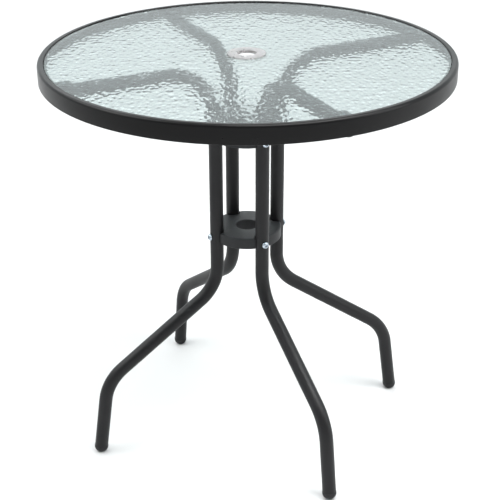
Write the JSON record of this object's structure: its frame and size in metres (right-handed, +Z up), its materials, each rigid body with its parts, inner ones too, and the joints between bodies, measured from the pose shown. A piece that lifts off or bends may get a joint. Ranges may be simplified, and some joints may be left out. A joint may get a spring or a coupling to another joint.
{
  "type": "umbrella table",
  "caption": "Round bistro table with a rippled glass top in a steel rim, an umbrella hole through ring and hubs, and bent tube legs.",
  "frame": {"origin": "on the floor, under the centre of the round top", "axes": "+Z up, +X to the right and -Y to the front as the table is pictured; the arms head 26 degrees from +X and every quarter turn from there"},
  "size_m": [0.7, 0.7, 0.7203],
  "materials": {
    "powder_coat": "anthracite powder coat, satin",
    "hub_plastic": "dark grey moulded plastic, matt",
    "cap_plastic": "black moulded plastic, matt",
    "zinc_plated": "bright zinc plating",
    "seat_strip": "soft grey strip",
    "ring_plastic": "translucent moulded plastic",
    "rippled_glass": "tempered, pale green, rippled on one face"
  },
  "bodies": {
    "frame": {"rim": "powder_coat", "support_ring": "powder_coat", "glass_seat": "seat_strip", "upper_hub": "hub_plastic", "lower_hub": "hub_plastic", "leg_tube_back_right": "powder_coat", "foot_cap_back_right": "cap_plastic", "arm_plug_back_right": "cap_plastic", "rim_tab_back_right": "powder_coat", "arm_bolt_back_right": "zinc_plated", "upper_hub_screw_back_right": "zinc_plated", "lower_hub_screw_back_right": "zinc_plated", "leg_tube_back_left": "powder_coat", "foot_cap_back_left": "cap_plastic", "arm_plug_back_left": "cap_plastic", "rim_tab_back_left": "powder_coat", "arm_bolt_back_left": "zinc_plated", "upper_hub_screw_back_left": "zinc_plated", "lower_hub_screw_back_left": "zinc_plated", "leg_tube_front_left": "powder_coat", "foot_cap_front_left": "cap_plastic", "arm_plug_front_left": "cap_plastic", "rim_tab_front_left": "powder_coat", "arm_bolt_front_left": "zinc_plated", "upper_hub_screw_front_left": "zinc_plated", "lower_hub_screw_front_left": "zinc_plated", "leg_tube_front_right": "powder_coat", "foot_cap_front_right": "cap_plastic", "arm_plug_front_right": "cap_plastic", "rim_tab_front_right": "powder_coat", "arm_bolt_front_right": "zinc_plated", "upper_hub_screw_front_right": "zinc_plated", "lower_hub_screw_front_right": "zinc_plated"},
    "glass": {"glass_top": "rippled_glass"},
    "ring": {"umbrella_ring": "ring_plastic"}
  },
  "joints": [
    {"name": "glass_lift", "type": "slide", "parent": "frame", "child": "glass", "axis": [0, 0, 1], "range_m": [0, 0.04]},
    {"name": "ring_lift", "type": "slide", "parent": "glass", "child": "ring", "axis": [0, 0, 1], "range_m": [0, 0.03]}
  ]
}
